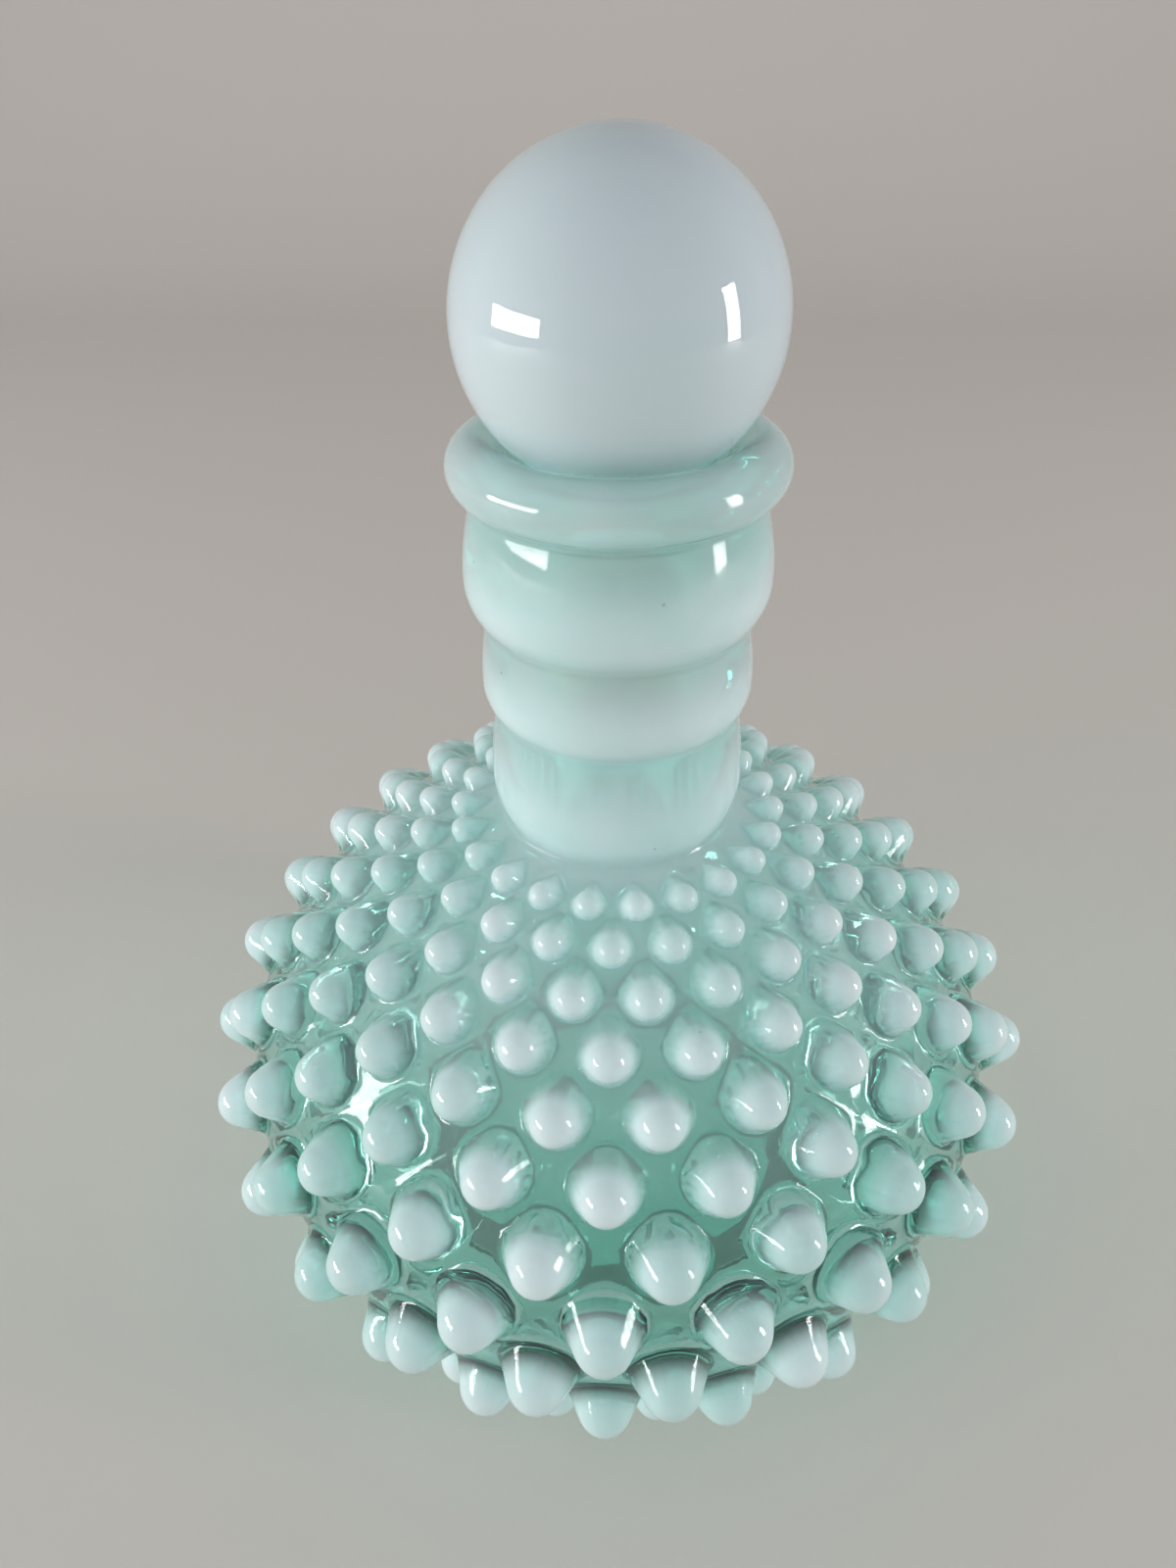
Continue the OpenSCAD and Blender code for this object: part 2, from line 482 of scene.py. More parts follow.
@dataclass(frozen=True)
class NeckSection:
    """The neck: three rings, a rolled lip, a flared mouth and the bore, with the milk in them and painted
    shade at the creases.
    """

    rings: tuple[NeckRing, ...] = (
        NeckRing(15.4, 14.0, 5.4, 14.8, 14.4),
        NeckRing(15.9, 14.4, 3.6, 11.4, 15.0),
        NeckRing(17.3, 15.0, 5.2, 14.4, 15.8),
    )
    lip_r: float = 18.4
    lip_roll_r: float = 3.4
    bore_r: float = 8.0
    mouth_h: float = 7.4
    crease: float = 0.35
    foot_round: float = 1.1
    foot_steps: int = 5
    lip_lap: float = 0.3
    lip_start: float = 0.1
    lip_steps: int = 22
    mouth_ease: tuple[float, float] = (-0.2, 1.2)
    mouth_steps: int = 8
    bore_steps: int = 12
    ring_milk: float = 0.97
    # Milk taken off towards each crease is painted shade, which shows the creases darker teal
    crease_painted_shade: float = 0.4
    low_shade_share: float = 0.6
    lip_milk: float = 0.76
    lip_clear: float = 0.45
    lip_fade: tuple[float, float] = (0.5, -0.6)

    @property
    def rings_h(self) -> float:
        """Height of the three rings together."""
        return sum(ring.height for ring in self.rings)

    @property
    def lip_x(self) -> float:
        """Distance of the middle of the lip's roll from the axis."""
        return self.lip_r - self.lip_roll_r

    @property
    def lip_rise(self) -> float:
        """Height of the middle of the lip's roll above the neck's foot."""
        return self.rings_h + math.sqrt(self.lip_roll_r**2 - (self.rings[-1].top_r - self.lip_x) ** 2)

    def radius(self, rise: float) -> float:
        """Gives the neck's radius at a height above its foot, with rounded creases.

        Args:
            rise: Height above the neck's foot.

        Returns:
            The radius there.
        """
        result = 0.0
        bottom = 0.0
        for ring in self.rings:
            result = smooth_max(result, ring.radius(rise - bottom), self.crease)
            bottom += ring.height
        return result

    def haze_and_painted_light(self, r: float, rise: float) -> float:
        """Gives the milk in the neck: full on the rings' bellies, thin inside the lip, and thinned
        towards each crease as painted shade.

        Args:
            r: Distance from the axis.
            rise: Height above the neck's foot.

        Returns:
            A share from 0 to 1.
        """
        if rise > self.rings_h:
            outer, inner = (self.lip_x + share * self.lip_roll_r for share in self.lip_fade)
            return self.lip_milk - self.lip_clear * smooth_step(outer, inner, r)
        bottom = 0.0
        for ring in self.rings:
            if rise <= bottom + ring.height:
                break
            bottom += ring.height
        # Painted shade: the milk thins above and below each ring's belly, darkening the creases to teal
        upper = smooth_step(ring.belly, ring.height, rise - bottom)
        lower = 1.0 - smooth_step(0.0, self.low_shade_share * ring.belly, rise - bottom)
        return self.ring_milk - self.crease_painted_shade * max(upper, self.low_shade_share * lower)

    def outside(self, neck_z: float, inset: float, step: float) -> list[SectionPoint]:
        """Draws the rings and the lip from just above the neck's foot to the inner edge of the lip.

        Args:
            neck_z: Height of the neck's foot.
            inset: Depth below the outer face.
            step: Height between places on the rings.

        Returns:
            Places in order.
        """
        start = self.foot_round
        span = self.rings_h - self.lip_lap - start
        count = round(span / step)
        rises = [start + span * i / count for i in range(count + 1)]
        places = [SectionPoint(self.radius(rise) - inset, neck_z + rise) for rise in rises]
        roll = self.lip_roll_r - inset
        lip_z = neck_z + self.lip_rise
        low = math.atan2(self.rings_h - self.lip_rise, self.rings[-1].top_r - self.lip_x) + self.lip_start
        for i in range(self.lip_steps + 1):
            turn = low + (math.pi - low) * i / self.lip_steps
            places.append(SectionPoint(self.lip_x + roll * math.cos(turn), lip_z + roll * math.sin(turn)))
        return places

    def inside(self, neck_z: float, bottom_z: float, inset: float) -> list[SectionPoint]:
        """Draws the flared mouth and the bore, from below the lip down.

        Args:
            neck_z: Height of the neck's foot.
            bottom_z: Height at which the bore opens into the globe.
            inset: Distance that the faces stand out into the glass.

        Returns:
            Places in order.
        """
        lip_z = neck_z + self.lip_rise
        mouth_r = self.lip_x - self.lip_roll_r
        places = []
        for i in range(1, self.mouth_steps):
            t = i / self.mouth_steps
            r = mouth_r + (self.bore_r - mouth_r) * smooth_step(*self.mouth_ease, t)
            places.append(SectionPoint(r + inset, lip_z - self.mouth_h * t))
        bore_top = lip_z - self.mouth_h
        for i in range(self.bore_steps + 1):
            z = bore_top + (bottom_z - bore_top) * i / self.bore_steps
            places.append(SectionPoint(self.bore_r + inset, z))
        return places


@dataclass(frozen=True)
class NodeBench:
    """Places nodes in a tree and links them in few words."""

    tree: bpy.types.NodeTree
    # Distance between nodes in the editor
    SPACING: ClassVar[float] = 220.0
    # Places of a Mix node's sockets for a share and two colours, and of the colour that it puts out
    MIX_INPUTS: ClassVar[tuple[int, int, int]] = (0, 6, 7)
    MIX_OUTPUT: ClassVar[int] = 2

    def node(self, kind: str, **settings: object) -> bpy.types.Node:
        """Adds a node; a setting named for a socket, with spaces as underscores, fills or links it.

        Args:
            kind: Blender's type name of the node.
            **settings: Properties or input sockets of the node, with values or output sockets.

        Returns:
            The node.
        """
        made = self.tree.nodes.new(kind)
        made.location = (self.SPACING * len(self.tree.nodes), 0.0)
        for name, value in settings.items():
            if hasattr(made, name):
                setattr(made, name, value)
                continue
            self.fill(made.inputs[name.replace("_", " ")], value)
        return made

    def fill(self, socket: bpy.types.NodeSocket, value: object) -> None:
        """Links an output socket to an input, or sets the input's value.

        Args:
            socket: The input.
            value: An output socket or a plain value.
        """
        if isinstance(value, bpy.types.NodeSocket):
            self.tree.links.new(value, socket)
        else:
            socket.default_value = value

    def math(self, operation: str, *values: object) -> bpy.types.NodeSocket:
        """Adds a Math node over values or sockets.

        Args:
            operation: Name of the operation.
            *values: Its operands.

        Returns:
            The result's socket.
        """
        made = self.node("ShaderNodeMath", operation=operation)
        for socket, value in zip(made.inputs, values):
            self.fill(socket, value)
        return made.outputs[0]

    def mix(self, share: object, a: object, b: object) -> bpy.types.NodeSocket:
        """Mixes two colours.

        Args:
            share: Share of the second colour.
            a: First colour.
            b: Second colour.

        Returns:
            The mixed colour's socket.
        """
        made = self.node("ShaderNodeMix", data_type="RGBA")
        for index, value in zip(self.MIX_INPUTS, (share, a, b)):
            self.fill(made.inputs[index], value)
        return made.outputs[self.MIX_OUTPUT]

    def ease(
        self, value: object, edges: tuple[float, float], ends: tuple[float, float] = (0.0, 1.0)
    ) -> bpy.types.NodeSocket:
        """Maps a value smoothly from one range to another.

        Args:
            value: Value or socket to map.
            edges: Values that give the two ends.
            ends: Results at the edges.

        Returns:
            The mapped value's socket.
        """
        made = self.node("ShaderNodeMapRange", interpolation_type="SMOOTHSTEP")
        for socket, number in zip(made.inputs, (value, *edges, *ends)):
            self.fill(socket, number)
        return made.outputs[0]


@dataclass(frozen=True)
class SharedGroups:
    """Node groups that more than one finish uses."""

    ripple: bpy.types.NodeTree
    cloud: bpy.types.NodeTree
    # The fine skin against the slow waves, and specks against clouds, by count in a length
    FINE_RATIO: ClassVar[float] = 7.0
    SPECK_RATIO: ClassVar[float] = 9.0
    CLOUD_EDGES: ClassVar[tuple[float, float]] = (0.35, 0.68)
    SPECK_EDGES: ClassVar[tuple[float, float]] = (0.05, 0.11)
    SPECK_RARITY: ClassVar[float] = 0.9
    SPECK_COLOR: ClassVar[Color] = (0.16, 0.2, 0.19, 1.0)
    # Layers of finer noise in the waves, the fine skin and the clouds
    WAVE_DETAIL: ClassVar[float] = 1.0
    FINE_DETAIL: ClassVar[float] = 2.0
    CLOUD_DETAIL: ClassVar[float] = 3.0

    @classmethod
    def build(cls) -> "SharedGroups":
        """Builds the groups once."""
        return cls(cls._ripple(), cls._cloud())

    @staticmethod
    def _start(name: str, inputs: dict[str, object], outputs: Sequence[str]) -> NodeBench:
        """Starts a group; a socket named Color, or with a colour as its value, is a colour.

        Args:
            name: Name of the group.
            inputs: Input names and their first values.
            outputs: Output names.

        Returns:
            A bench on the group's tree.
        """
        group = bpy.data.node_groups.new(name, "ShaderNodeTree")
        for label, value in inputs.items():
            kind = "NodeSocketColor" if isinstance(value, tuple) else "NodeSocketFloat"
            socket = group.interface.new_socket(label, in_out="INPUT", socket_type=kind)
            socket.default_value = value
        for label in outputs:
            kind = "NodeSocketColor" if label == "Color" else "NodeSocketFloat"
            group.interface.new_socket(label, in_out="OUTPUT", socket_type=kind)
        return NodeBench(group)

    @classmethod
    def _ripple(cls) -> bpy.types.NodeTree:
        """Makes the slow ripples and the fine skin that pressing and fire-polishing leave in glass.

        Returns:
            A group with inputs Wave Size, Waves and Skin, and an output Height.
        """
        first = {"Wave Size": 90.0, "Waves": 1.0, "Skin": 0.2}
        bench = cls._start("pressed_glass_ripple", first, ["Height"])
        inputs = bench.node("NodeGroupInput").outputs
        place = bench.node("ShaderNodeTexCoord").outputs["Object"]
        size = inputs["Wave Size"]
        wave = bench.node("ShaderNodeTexNoise", Vector=place, Scale=size, Detail=cls.WAVE_DETAIL)
        fine_size = bench.math("MULTIPLY", size, cls.FINE_RATIO)
        fine = bench.node("ShaderNodeTexNoise", Vector=place, Scale=fine_size, Detail=cls.FINE_DETAIL)
        slow = bench.math("MULTIPLY", wave.outputs[0], inputs["Waves"])
        quick = bench.math("MULTIPLY", fine.outputs[0], inputs["Skin"])
        bench.node("NodeGroupOutput", Height=bench.math("ADD", slow, quick))
        return bench.tree

    @classmethod
    def _cloud(cls) -> bpy.types.NodeTree:
        """Makes the uneven milk of heat-struck opal glass, with seeds and specks in it.

        Returns:
            A group with inputs Milk, Thin Milk, Cloud Size and Specks, and outputs Color and Cloud.
        """
        first = {
            "Milk": (0.8, 0.85, 0.87, 1.0),
            "Thin Milk": (0.6, 0.78, 0.78, 1.0),
            "Cloud Size": 40.0,
            "Specks": 0.5,
        }
        bench = cls._start("opal_milk_cloud", first, ["Color", "Cloud"])
        inputs = bench.node("NodeGroupInput").outputs
        place = bench.node("ShaderNodeTexCoord").outputs["Object"]
        size = inputs["Cloud Size"]
        soft = bench.node("ShaderNodeTexNoise", Vector=place, Scale=size, Detail=cls.CLOUD_DETAIL)
        cloud = bench.ease(soft.outputs[0], cls.CLOUD_EDGES)
        milk = bench.mix(cloud, inputs["Milk"], inputs["Thin Milk"])
        speck_size = bench.math("MULTIPLY", size, cls.SPECK_RATIO)
        dots = bench.node("ShaderNodeTexVoronoi", Vector=place, Scale=speck_size)
        near = bench.ease(dots.outputs["Distance"], cls.SPECK_EDGES, (1.0, 0.0))
        chance = bench.node("ShaderNodeSeparateColor", Color=dots.outputs["Color"]).outputs[0]
        few = bench.math("GREATER_THAN", chance, cls.SPECK_RARITY)
        share = bench.math("MULTIPLY", bench.math("MULTIPLY", near, few), inputs["Specks"])
        speckled = bench.mix(share, milk, cls.SPECK_COLOR)
        bench.node("NodeGroupOutput", Color=speckled, Cloud=cloud)
        return bench.tree


@dataclass(frozen=True)
class Ripple:
    """Ripples in a glass face: waves in a metre, strength of waves and fine skin, depth in metres."""

    wave_size: float = 70.0
    waves: float = 1.0
    skin: float = 0.05
    depth: float = 0.00025


@dataclass(frozen=True)
class Finish:
    """What every finish has: a name and the groups that it draws on."""

    name: str
    groups: SharedGroups

    def bench(self) -> tuple[bpy.types.Material, NodeBench, bpy.types.Node]:
        """Starts a material with an empty tree.

        Returns:
            The material, a bench on its tree and its output node.
        """
        material = bpy.data.materials.new(self.name)
        material.use_nodes = True
        material.node_tree.nodes.clear()
        bench = NodeBench(material.node_tree)
        return material, bench, bench.node("ShaderNodeOutputMaterial")

    def bump(self, bench: NodeBench, ripple: Ripple) -> bpy.types.NodeSocket:
        """Adds the shared ripple as a bump.

        Args:
            bench: Bench of the material.
            ripple: Size and strength of the ripple.

        Returns:
            The bumped normal.
        """
        group = bench.node(
            "ShaderNodeGroup",
            node_tree=self.groups.ripple,
            Wave_Size=ripple.wave_size,
            Waves=ripple.waves,
            Skin=ripple.skin,
        )
        height = group.outputs["Height"]
        return bench.node("ShaderNodeBump", Strength=1.0, Distance=ripple.depth, Height=height).outputs[0]


@dataclass(frozen=True)
class ClearAquaGlass(Finish):
    """The clear aqua glass of the wall, darker where it is thick."""

    tint: Color = (0.78, 0.97, 0.94, 1.0)
    depth_tint: Color = (0.1, 0.74, 0.64, 1.0)
    depth_density: float = 50.0
    shadow_tint: Color = (0.97, 0.995, 0.99, 1.0)
    roughness: float = 0.02
    ior: float = 1.5
    ripple: Ripple = Ripple()

    def material(self) -> bpy.types.Material:
        """Builds the material: refracting glass that lets tinted light through to what it shades.

        Returns:
            The material.
        """
        material, bench, output = self.bench()
        glass = bench.node(
            "ShaderNodeBsdfPrincipled",
            Base_Color=self.tint,
            Roughness=self.roughness,
            IOR=self.ior,
            Transmission_Weight=1.0,
            Normal=self.bump(bench, self.ripple),
        )
        clear = bench.node("ShaderNodeBsdfTransparent", Color=self.shadow_tint)
        shadow = bench.node("ShaderNodeLightPath").outputs["Is Shadow Ray"]
        blend = bench.node("ShaderNodeMixShader")
        for socket, part in zip(blend.inputs, (shadow, glass.outputs[0], clear.outputs[0])):
            bench.fill(socket, part)
        depth = bench.node("ShaderNodeVolumeAbsorption", Color=self.depth_tint)
        depth.inputs["Density"].default_value = self.depth_density
        bench.fill(output.inputs["Surface"], blend.outputs[0])
        bench.fill(output.inputs["Volume"], depth.outputs[0])
        return material


@dataclass(frozen=True)
class MilkGlass(Finish):
    """What both milky glasses have: two tones of milk, clouds and specks in it, and a soft depth."""

    milk_color: Color = (0.65, 0.71, 0.76, 1.0)
    thin_color: Color = (0.61, 0.71, 0.73, 1.0)
    clouds: float = 28.0
    specks: float = 0.5
    roughness: float = 0.035
    ior: float = 1.5
    soft_share: float = 1.0
    soft_radius: Point = (1.0, 1.0, 1.0)
    soft_scale: float = 0.009
    ripple: Ripple = Ripple(45.0, 1.0, 0.04, 0.0003)

    def milk(self, bench: NodeBench) -> bpy.types.Node:
        """Adds the shared milk.

        Args:
            bench: Bench of the material.

        Returns:
            The group's node.
        """
        return bench.node(
            "ShaderNodeGroup",
            node_tree=self.groups.cloud,
            Milk=self.milk_color,
            Thin_Milk=self.thin_color,
            Cloud_Size=self.clouds,
            Specks=self.specks,
        )

    def shader(self, bench: NodeBench, milk: bpy.types.Node) -> bpy.types.Node:
        """Adds the glossy shader with its soft depth.

        Args:
            bench: Bench of the material.
            milk: Node of the shared milk.

        Returns:
            The shader's node.
        """
        return bench.node(
            "ShaderNodeBsdfPrincipled",
            Base_Color=milk.outputs["Color"],
            Roughness=self.roughness,
            IOR=self.ior,
            Subsurface_Weight=self.soft_share,
            Subsurface_Radius=self.soft_radius,
            Subsurface_Scale=self.soft_scale,
            Normal=self.bump(bench, self.ripple),
        )

    def material(self) -> bpy.types.Material:
        """Builds the material: glossy milk glass.

        Returns:
            The material.
        """
        material, bench, output = self.bench()
        shader = self.shader(bench, self.milk(bench))
        bench.fill(output.inputs["Surface"], shader.outputs[0])
        return material


@dataclass(frozen=True)
class OpalSkin(MilkGlass):
    """The milky outer layer: dense on the hobs' tips and the neck, fading into the clear wall, with
    painted light on the low belly and painted shade in the neck's creases.
    """

    milk_color: Color = (0.72, 0.84, 0.86, 1.0)
    thin_color: Color = (0.6, 0.8, 0.79, 1.0)
    clouds: float = 45.0
    specks: float = 0.35
    soft_share: float = 0.8
    soft_radius: Point = (1.0, 1.1, 1.1)
    soft_scale: float = 0.004
    ripple: Ripple = Ripple()
    fade_edges: tuple[float, float] = (0.0, 0.58)
    densest: float = 0.97
    unevenness: float = 0.1
    shadow_share: float = 0.22
    back_share: float = 0.3

    def material(self) -> bpy.types.Material:
        """Builds the material: opal whose alpha follows the hobs' height and the haze.

        Returns:
            The material.
        """
        material, bench, output = self.bench()
        traits = [bench.node("ShaderNodeAttribute", attribute_name=trait.value) for trait in Trait]
        hob, haze_and_painted_light = (trait.outputs["Fac"] for trait in traits)
        milk = self.milk(bench)
        uneven = bench.math("MULTIPLY_ADD", milk.outputs["Cloud"], -self.unevenness, 1.0)
        tip = bench.math("MULTIPLY", bench.ease(hob, self.fade_edges, (0.0, self.densest)), uneven)
        clear_tip = bench.math("SUBTRACT", 1.0, tip)
        # The milk attribute carries painted light on the low belly and painted shade in the neck's
        # creases
        bare = bench.math("MULTIPLY", clear_tip, bench.math("SUBTRACT", 1.0, haze_and_painted_light))
        shadow = bench.node("ShaderNodeLightPath").outputs["Is Shadow Ray"]
        shaded = bench.math("MULTIPLY_ADD", shadow, self.shadow_share - 1.0, 1.0)
        back = bench.node("ShaderNodeNewGeometry").outputs["Backfacing"]
        behind = bench.math("MULTIPLY_ADD", back, self.back_share - 1.0, 1.0)
        shade = bench.math("MULTIPLY", shaded, behind)
        shader = self.shader(bench, milk)
        alpha = bench.math("MULTIPLY", bench.math("SUBTRACT", 1.0, bare), shade)
        bench.fill(shader.inputs["Alpha"], alpha)
        bench.fill(output.inputs["Surface"], shader.outputs[0])
        return material


@dataclass(frozen=True)
class NaturalCork(Finish):
    """Cut cork: pale brown grain with dark pores."""

    bark: Color = (0.42, 0.26, 0.13, 1.0)
    pale: Color = (0.58, 0.4, 0.22, 1.0)
    pore: Color = (0.12, 0.06, 0.03, 1.0)
    grain_size: float = 600.0
    grain_detail: float = 4.0
    grain_edges: tuple[float, float] = (0.35, 0.7)
    pore_size: float = 420.0
    pore_edges: tuple[float, float] = (0.1, 0.3)
    pore_share: float = 0.8
    rough_edges: tuple[float, float] = (0.3, 0.7)
    rough_ends: tuple[float, float] = (0.75, 0.92)
    bump_share: float = 0.7
    bump_depth: float = 0.0003

    def material(self) -> bpy.types.Material:
        """Builds the material: matt, grainy and pitted.

        Returns:
            The material.
        """
        material, bench, output = self.bench()
        place = bench.node("ShaderNodeTexCoord").outputs["Object"]
        size, detail = self.grain_size, self.grain_detail
        grain = bench.node("ShaderNodeTexNoise", Vector=place, Scale=size, Detail=detail).outputs[0]
        color = bench.mix(bench.ease(grain, self.grain_edges), self.bark, self.pale)
        cells = bench.node("ShaderNodeTexVoronoi", Vector=place, Scale=self.pore_size)
        pores = bench.ease(cells.outputs["Distance"], self.pore_edges, (1.0, 0.0))
        color = bench.mix(bench.math("MULTIPLY", pores, self.pore_share), color, self.pore)
        bump = bench.node(
            "ShaderNodeBump",
            Strength=self.bump_share,
            Distance=self.bump_depth,
            Height=bench.math("SUBTRACT", grain, pores),
        )
        cork = bench.node(
            "ShaderNodeBsdfPrincipled",
            Base_Color=color,
            Roughness=bench.ease(grain, self.rough_edges, self.rough_ends),
            Normal=bump.outputs[0],
        )
        bench.fill(output.inputs["Surface"], cork.outputs[0])
        return material


@dataclass
class Bottle:
    """The hobnail bottle: a clear glass shell and the milky skin on its outside."""

    globe: GlobeSection = field(default_factory=GlobeSection)
    hobs: HobPattern = field(default_factory=HobPattern)
    neck: NeckSection = field(default_factory=NeckSection)
    glass_fine: Fineness = Fineness(4, 5, 2, 3, 1.2)
    skin_fine: Fineness = Fineness(6, 6, 3, 4, 0.55)
    skin_inset: float = 0.01
    glass_inset: float = 0.05
    neck_inset: float = 0.3
    edge_milk: float = 0.8
    neck_milk: float = 0.62
    wall_milk: float = 0.06
    # Extra milk towards the foot is painted light: it brightens the low belly over the shaded table under
    # it
    belly_painted_light: float = 0.3
    wall_lead: float = 4.0
    neck_reach: float = 2.0
    belly_lead: float = 6.0
    dish_steps: int = 8
    bevel_share: float = 0.3
    foot_lap: float = 0.6
    foot_steps: int = 6
    shoulder_steps: int = 3
    cavity_lap: float = 2.0
    cavity_steps: int = 44
    floor_bend: SectionPoint = SectionPoint(1.6, 0.3)
    floor_round: float = 4.0
    floor_steps: int = 4

    @property
    def neck_z(self) -> float:
        """Height of the neck's foot above the table."""
        return self.globe.at(0.0).z

    @property
    def cavity_s(self) -> float:
        """Length along the section at which the bore opens into the globe."""
        return self.globe.shoulder_s(self.neck.bore_r, self.globe.wall)

    def row_s(self, row: int) -> float:
        """Length along the section of a row of hobs."""
        return self.hobs.row_s(row, self.globe.foot_s)

    def haze_and_painted_light(self, s: float) -> float:
        """Gives the milk in the wall: thick at the neck, thin at the widest level, with painted light
        added towards the foot.

        Args:
            s: Length along the section.

        Returns:
            A share from 0 to 1.
        """
        globe = self.globe
        down = smooth_step(0.0, globe.equator_s - self.wall_lead, s)
        upper = self.neck_milk + (self.wall_milk - self.neck_milk) * down
        near_neck = 1.0 - smooth_step(0.0, self.row_s(0) + self.neck_reach, s)
        # Painted light: extra milk over the low belly, growing towards the foot
        belly = self.belly_painted_light * smooth_step(globe.equator_s - self.belly_lead, globe.foot_s, s)
        return upper + (self.edge_milk - upper) * near_neck + belly

    def cell(self, row: int, fine: Fineness, inset: float) -> list[list[Dressed]]:
        """Draws one hob and the wall round it, out to the middle between it and its neighbours.

        Args:
            row: Row of the hob; its azimuth is 0.
            fine: How finely it is drawn.
            inset: Depth below the outer face.

        Returns:
            Rings from the tip outwards.
        """
        s0 = self.row_s(row)
        half = self.hobs.pitch / 2.0
        corners = [(self.row_s(row - 1), 0.0), (s0, -half), (self.row_s(row + 1), 0.0), (s0, half)]
        edge = []
        for (s_a, turn_a), (s_b, turn_b) in zip(corners, corners[1:] + corners[:1]):
            for i in range(fine.patch_steps):
                t = i / fine.patch_steps
                s = s_a + (s_b - s_a) * t
                edge.append(((turn_a + (turn_b - turn_a) * t) * self.globe.at(s).r, s - s0))
        share = (self.globe.at(s0).r / self.globe.globe_r) ** self.hobs.taper
        slant = self.globe.at(s0).tilt * (1.0 - self.hobs.tilt_share)
        rings = [[self.cell_point(s0, 0.0, 0.0, share, inset)]]
        for rho in self.hobs.ring_radii(fine):
            ring = []
            for across, along in edge:
                flat = math.hypot(across, along * math.cos(slant))
                downhill = along * math.sin(slant) / flat
                reach = self.hobs.ring_reach(rho, downhill) * share
                part = min(reach / flat, self.hobs.patch_limit)
                ring.append(self.cell_point(s0, across * part, along * part, share, inset, part))
            rings.append(ring)
        rings.append([self.cell_point(s0, across, along, share, inset, 1.0) for across, along in edge])
        return rings

    def cell_point(
        self, s0: float, across: float, along: float, share: float, inset: float, part: float = 0.0
    ) -> Dressed:
        """Places one point of a hob's patch: the wall there, raised to the hob along the hob's axis.

        Args:
            s0: Length along the section of the hob.
            across: Distance round the globe from the hob's axis.
            along: Distance along the section from the hob's axis.
            share: Size of the hob against the largest.
            inset: Depth below the outer face.
            part: Share of the way from the hob's axis to the edge of its patch.

        Returns:
            The place, the share of the hob's height and the haze.
        """
        wall = self.globe.at(s0 + along, inset)
        centre = self.globe.at(s0, inset)
        tilt = centre.tilt * self.hobs.tilt_share
        axis = Vector((math.cos(tilt), 0.0, math.sin(tilt)))
        place = Vector(wall.turned(across / self.globe.at(s0 + along).r))
        offset = place - Vector((centre.r, 0.0, centre.z))
        level = offset.dot(axis)
        crown = self.hobs.crown((offset - axis * level).length / share) * share
        height = smooth_max(crown, level, self.hobs.root_fillet * share) - level
        height *= 1.0 - smooth_step(self.hobs.level_from, 1.0, part)
        place += axis * height
        full = self.hobs.height * share
        cap = max(0.0, crown) / full * smooth_step(0.0, self.hobs.cap_rise, height / full)
        return tuple(place), cap, self.haze_and_painted_light(s0 + along)

    def add_hobs(self, draft: MeshDraft, fine: Fineness, inset: float) -> None:
        """Adds every hob with its patch of wall, and the flat triangles past the end rows.

        Args:
            draft: Draft to add to.
            fine: How finely the hobs are drawn.
            inset: Depth below the outer face.
        """
        for row in range(self.hobs.rows):
            cell = self.cell(row, fine, inset)
            for i in range(self.hobs.per_row):
                turn = Matrix.Rotation(self.hobs.row_turn(row, i), 3, "Z")
                rings = []
                for ring in cell:
                    rings.append([draft.add(tuple(turn @ Vector(p)), hob, haze_and_painted_light) for p, hob, haze_and_painted_light in ring])
                self.face_rings(draft, rings)
        self.add_edge_triangles(draft, 0, -1, fine.patch_steps, inset)
        self.add_edge_triangles(draft, self.hobs.rows - 1, self.hobs.rows, fine.patch_steps, inset)

    @staticmethod
    def face_rings(draft: MeshDraft, rings: Sequence[Sequence[int]]) -> None:
        """Joins a tip point and the rings round it with faces.

        Args:
            draft: Draft to add to.
            rings: Indices of the tip alone, then of each ring.
        """
        count = len(rings[1])
        for j in range(count):
            k = (j + 1) % count
            draft.faces.append((rings[0][0], rings[1][j], rings[1][k]))
            for inner, outer in zip(rings[1:], rings[2:]):
                draft.faces.append((inner[j], outer[j], outer[k], inner[k]))

    def add_edge_triangles(self, draft: MeshDraft, row: int, past: int, steps: int, inset: float) -> None:
        """Fills the triangles between the patches of an end row and the level circle past it.

        Args:
            draft: Draft to add to.
            row: The end row.
            past: Row number past the end row, at the level circle.
            steps: Points along each edge of a patch.
            inset: Depth below the outer face.
        """
        s_base, s_peak = self.row_s(past), self.row_s(row)
        step_turn = self.hobs.pitch / steps
        for i in range(self.hobs.per_row):
            start = self.hobs.row_turn(row, i)
            levels = []
            for j in range(steps + 1):
                s = s_base + (s_peak - s_base) * j / steps
                place = self.globe.at(s, inset)
                turns = [start + step_turn * (j / 2.0 + n) for n in range(steps - j + 1)]
                levels.append([draft.add(place.turned(turn), 0.0, self.haze_and_painted_light(s)) for turn in turns])
            for low, high in zip(levels, levels[1:]):
                for n in range(len(low) - 1):
                    self.add_facing(draft, (low[n], low[n + 1], high[n]), past > row)
                    if n + 1 < len(high):
                        self.add_facing(draft, (low[n + 1], high[n + 1], high[n]), past > row)

    @staticmethod
    def add_facing(draft: MeshDraft, corners: tuple[int, ...], upward: bool) -> None:
        """Adds a face, turned round where its triangles run down the wall."""
        draft.faces.append(corners if upward else corners[::-1])

